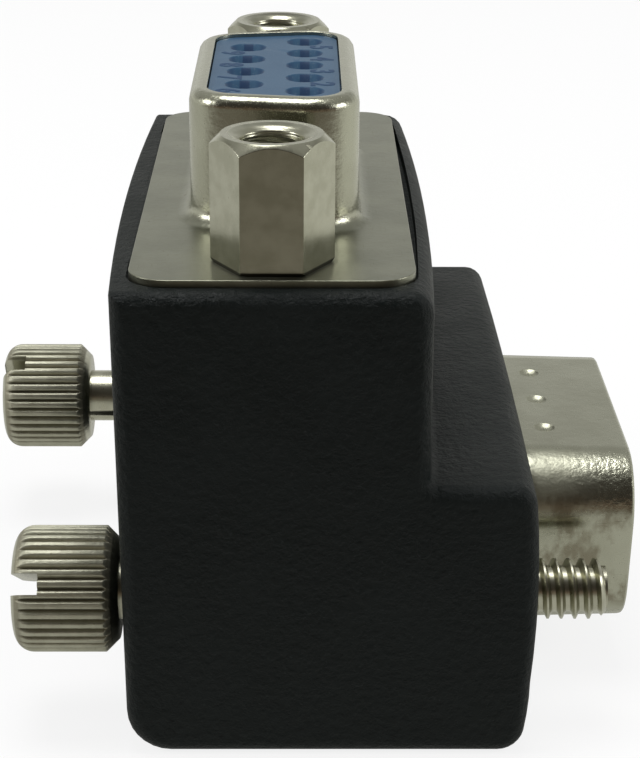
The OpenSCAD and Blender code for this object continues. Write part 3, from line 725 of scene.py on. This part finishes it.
# closes the long side's dimples and presses softer ones nearer the flange
def dressSideShell():
    low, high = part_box("male_front_shell")
    flangeX = low.x / mm + sideShell["sheet"]
    skinZ = (low.z + high.z) / 2 / mm + sideShell["halfHeight"]
    lean = math.tan(math.radians(sideShell["draft"]))
    oldHeight, oldRadius = sideShell["oldDimples"]
    shallow, deep = sideShell["oldDepths"]
    places = [sideShell["dimplePitch"] * i for i in (-1, 0, 1)]
    bm = copyOf("male_front_shell")
    dented = []
    for v in bm.verts:
        x, y, z = v.co / mm
        offY = min((y - along for along in places), key=abs)
        depth = skinZ - lean * (x - flangeX) - z
        if math.hypot(x - flangeX - oldHeight, offY) < oldRadius and shallow < depth < deep:
            dented.append(v)
    bmesh.ops.delete(bm, geom=dented, context="VERTS")
    bmesh.ops.holes_fill(bm, edges=[e for e in bm.edges if e.is_boundary], sides=0)
    bmesh.ops.recalc_face_normals(bm, faces=bm.faces[:])
    joinFlat(bm)
    radius, depth = sideShell["dimpleRadius"], sideShell["dimpleDepth"]
    ballR = (radius ** 2 + depth ** 2) / (2 * depth)
    x = flangeX + sideShell["dimpleHeight"]
    z = skinZ - lean * sideShell["dimpleHeight"] + ballR - depth
    for along in places:
        ball = bmesh.new()
        bmesh.ops.create_uvsphere(ball, u_segments=64, v_segments=48, radius=ballR * mm)
        ball.transform(Matrix.Translation(Vector((x, along, z)) * mm))
        bm = subtract(bm, ball)
    replaceNode(bm, "male_front_shell", "sideShell", 25, edge=0.05)


replaceNode(copyOf("female_front_shell"), "female_front_shell", "topShell", 40, edge=0.03)
dressSideShell()
replaceNode(copyOf("female_front_insulator"), "female_front_insulator", "topInsulator", 40, edge=0.03)
print("housing, shells and blue face done")

# threads

thread = {
    "pitch": 0.635,
    "flat": 0.09,  # width of a crest
    "foot": 0.23,  # half the width of a ridge at its foot
    "steps": 32,  # round one turn
    "sunk": 0.03,  # how far a ridge's foot goes into its core or bore
}


# closed ridge that winds along x round the x axis, from 0 to length
def makeRidge(length, footR, crestR):
    pitch, steps = thread["pitch"], thread["steps"]
    turns = math.ceil(length / pitch) + 2
    outline = [(-thread["foot"], footR), (-thread["flat"] / 2, crestR),
               (thread["flat"] / 2, crestR), (thread["foot"], footR)]
    bm = bmesh.new()
    face = bm.faces.new([bm.verts.new(((x - pitch) * mm, 0, r * mm)) for x, r in outline])
    bmesh.ops.spin(bm, geom=[face], cent=(0, 0, 0), axis=(1, 0, 0), dvec=(pitch * mm / steps, 0, 0),
                   angle=math.radians(360 * turns), steps=steps * turns, use_merge=False, use_duplicate=False)
    trim(bm, (0, 0, 0), (-1, 0, 0))
    trim(bm, (length * mm, 0, 0), (1, 0, 0))
    bmesh.ops.recalc_face_normals(bm, faces=bm.faces[:])
    return bm


# hex standoffs with a real internal thread

standoff = {
    "bore": 1.175,  # radius of the plain bore
    "thread": 1.40,  # radius at the foot of the thread
    "crest": 1.15,
    "lead": 0.50,  # from the top to the thread's start
    "mouth": 1.90,  # radius of the countersink
    "oldMouth": 1.70,
    "ring": 2.25,  # radius of the flat ring on top
    "slope": 1.0,  # fall of the corners outside the ring
    "soft": 0.13,  # rounding of the hexagon's edges
    "threadLength": 4.5,
    "boreLength": 6,  # at least the depth of the bore
    "cornerFall": 0.4,  # at least the height of the solid's corner chamfer
    "hexagon": (2.1, 5.6),  # least radius and greatest depth at which its edges lie
    "hexagonAngle": 20,  # degrees, least angle at such an edge
    "fit": 0.02,  # how closely a point has to lie on the solid's outline to be moved
}


# widens the bore to the thread's foot and the mouth, slopes the corners, and adds the ridge of the thread
def addStandoff(side):
    node = f"standoff_{side}"
    low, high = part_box(node)
    axis = (low + high) / 2
    bm = copyOf(node)
    for v in bm.verts:
        out = Vector((v.co.x - axis.x, v.co.y - axis.y))
        for old, new in (("bore", "thread"), ("oldMouth", "mouth")):
            inBore = v.co.z > high.z - standoff["boreLength"] * mm
            if inBore and abs(out.length / mm - standoff[old]) < standoff["fit"]:
                out *= standoff[new] / standoff[old]
                v.co.x, v.co.y = axis.x + out.x, axis.y + out.y
                break
        beyond = out.length - standoff["ring"] * mm
        if beyond > 0.01 * mm and v.co.z > high.z - standoff["cornerFall"] * mm:
            v.co.z = high.z - standoff["slope"] * beyond
    bm.normal_update()  # the angles between faces need it
    leastR, depth = (d * mm for d in standoff["hexagon"])
    sharp = math.radians(standoff["hexagonAngle"])
    outside = [e for e in bm.edges if len(e.link_faces) == 2 and e.calc_face_angle() > sharp
               and min((v.co - axis).to_2d().length for v in e.verts) > leastR
               and max(v.co.z for v in e.verts) > high.z - depth]
    bmesh.ops.bevel(bm, geom=outside, offset=standoff["soft"] * mm, offset_type="OFFSET", segments=3,
                    profile=0.5, affect="EDGES", material=-1, clamp_overlap=True)
    ridge = makeRidge(standoff["threadLength"], standoff["thread"] + thread["sunk"], standoff["crest"])
    top = Vector((axis.x, axis.y, high.z - standoff["lead"] * mm))
    ridge.transform(Matrix.Translation(top) @ Matrix.Rotation(math.radians(90), 4, "Y"))
    joinInto(bm, ridge)
    replaceNode(bm, node, f"standoff{side.capitalize()}", 40, even=True, material=standoffNickel)


# thumbscrews: a knurled head with a slot, the shank and a real thread

screw = {
    "ridges": 36,
    "perRidge": 12,  # points round each ridge
    "ridgeDepth": 0.21,
    "ridgeWidth": 3,  # a higher number makes the crests wider and the valleys sharper
    "headLength": 4.85,
    "endRound": 0.9,
    "endChamfer": 0.6,
    "chamferSteps": (0, 0.04, 0.09, 0.14, 0.21),
    "slotWidth": 1.0,
    "slotDepth": 1.3,
    "slotTurn": {"near": 150, "far": 120},
    "shankInHead": 0.4,  # how far the shank goes into the head
    "shankInThread": 0.02,  # and into the threaded end
    "threadLength": 3.6,
    "threadFoot": 1.08,
    "threadCrest": 1.42,
    "tipChamfer": 0.35,
}


# knurled head of a screw along x, from a round end with the slot to a chamfered one
def makeHead(radius):
    count = screw["ridges"] * screw["perRidge"]
    length, rounding, chamfer = screw["headLength"], screw["endRound"], screw["endChamfer"]
    outline = [(rounding * (1 - math.cos(a)), radius - rounding * (1 - math.sin(a)))
               for a in (math.radians(10 * i) for i in range(10))]
    outline += [(length - chamfer + d, radius - d) for d in (*screw["chamferSteps"], chamfer)]
    bm = bmesh.new()
    ring = bmesh.ops.create_circle(bm, cap_ends=True, segments=count, radius=1)["verts"]
    rim = list({e for v in ring for e in v.link_edges})
    for i, (x, limit) in enumerate(outline):
        if i:
            made = bmesh.ops.extrude_edge_only(bm, edges=rim)["geom"]
            ring = [g for g in made if isinstance(g, bmesh.types.BMVert)]
            rim = [g for g in made if isinstance(g, bmesh.types.BMEdge)]
            rim = [e for e in rim if all(v in ring for v in e.verts)]
        for v in ring:  # the first ring starts as the circle, in the plane of x and y
            a = math.atan2(v.co.z, v.co.y) if i else math.atan2(v.co.y, v.co.x)
            valley = (0.5 - 0.5 * math.cos(screw["ridges"] * a)) ** screw["ridgeWidth"]
            r = min(radius - screw["ridgeDepth"] * valley, limit)
            v.co = Vector((x, r * math.cos(a), r * math.sin(a)))
    bmesh.ops.contextual_create(bm, geom=rim)
    bmesh.ops.recalc_face_normals(bm, faces=bm.faces[:])
    cutter = bmesh.new()
    bmesh.ops.create_cube(cutter, size=1, matrix=Matrix.Diagonal(
        (2 * screw["slotDepth"], 4 * radius, screw["slotWidth"], 1)))
    bm = subtract(bm, cutter)
    bm.transform(Matrix.Scale(mm, 4))
    return bm


def addThumbscrew(side):
    node = f"jackscrew_{side}"
    low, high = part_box(node)
    axis = (low + high) / 2
    radius = (high.z - low.z) / 2
    headEnd = low.x + screw["headLength"] * mm
    threadStart = high.x - screw["threadLength"] * mm

    bm = copyOf(node)  # the shank with its groove, without the head and the thread
    trim(bm, (headEnd - screw["shankInHead"] * mm, 0, 0), (-1, 0, 0))
    trim(bm, (threadStart + screw["shankInThread"] * mm, 0, 0), (1, 0, 0))

    head = makeHead(radius / mm)
    turn = Matrix.Rotation(math.radians(screw["slotTurn"][side]), 4, "X")
    head.transform(Matrix.Translation((low.x, axis.y, axis.z)) @ turn)
    joinInto(bm, head)

    crest, length = screw["threadCrest"], screw["threadLength"]
    core = bmesh.new()
    bmesh.ops.create_cone(core, cap_ends=True, segments=48, radius1=screw["threadFoot"] * mm,
                          radius2=screw["threadFoot"] * mm, depth=length * mm)
    core.transform(Matrix.Translation((length / 2 * mm, 0, 0)) @ Matrix.Rotation(math.radians(90), 4, "Y"))
    joinInto(core, makeRidge(length, screw["threadFoot"] - thread["sunk"], crest))
    for v in core.verts:
        limit = crest * mm - max(0, v.co.x - (length - screw["tipChamfer"]) * mm)
        out = Vector((v.co.y, v.co.z))
        if out.length > limit:
            out *= limit / out.length
            v.co.y, v.co.z = out
    core.transform(Matrix.Translation((threadStart, axis.y, axis.z)))
    joinInto(bm, core)
    replaceNode(bm, node, f"thumbscrew{side.capitalize()}", 45)


for side in ("near", "far"):
    addStandoff(side)
    addThumbscrew(side)
print("standoffs and thumbscrews done")

# numbers beside the holes of the blue face

numbers = {
    "height": 1.1,
    "share": 0.7,  # of the type size that a digit fills
    "proud": 0.012,  # above the face
    "bolder": 0.04,  # at 0.05 and more, some digits lose their faces
    "across": 0.78,  # from a hole's axis outwards
    "along": -1.35,
}


def addNumbers():
    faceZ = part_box("female_front_insulator")[1].z
    bm = bmesh.new()
    for k in range(1, 10):
        low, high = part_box(f"socket_{k}")
        hole = (low + high) / 2
        curve = bpy.data.curves.new("number", "FONT")
        curve.body = str(k)
        curve.size = numbers["height"] / numbers["share"] * mm
        curve.extrude = numbers["proud"] * mm
        curve.offset = numbers["bolder"] * mm
        curve.align_x = curve.align_y = "CENTER"
        obj = bpy.data.objects.new("number", curve)
        bpy.context.scene.collection.objects.link(obj)
        mesh = bpy.data.meshes.new_from_object(obj.evaluated_get(bpy.context.evaluated_depsgraph_get()))
        outwards = math.copysign(numbers["across"] * mm, hole.x)
        spot = Vector((hole.x + outwards, hole.y + numbers["along"] * mm, faceZ))
        mesh.transform(Matrix.Translation(spot) @ Matrix.Rotation(math.radians(-90), 4, "Z"))
        bm.from_mesh(mesh)
        bpy.data.objects.remove(obj)
        bpy.data.meshes.remove(mesh)
    bmesh.ops.remove_doubles(bm, verts=bm.verts[:], dist=joinWithin * mm)
    addPiece(bm, "contactNumbers", bodyOf["female_front_insulator"], "blue_plastic", numberBlue, 30)


addNumbers()
print("numbers done")
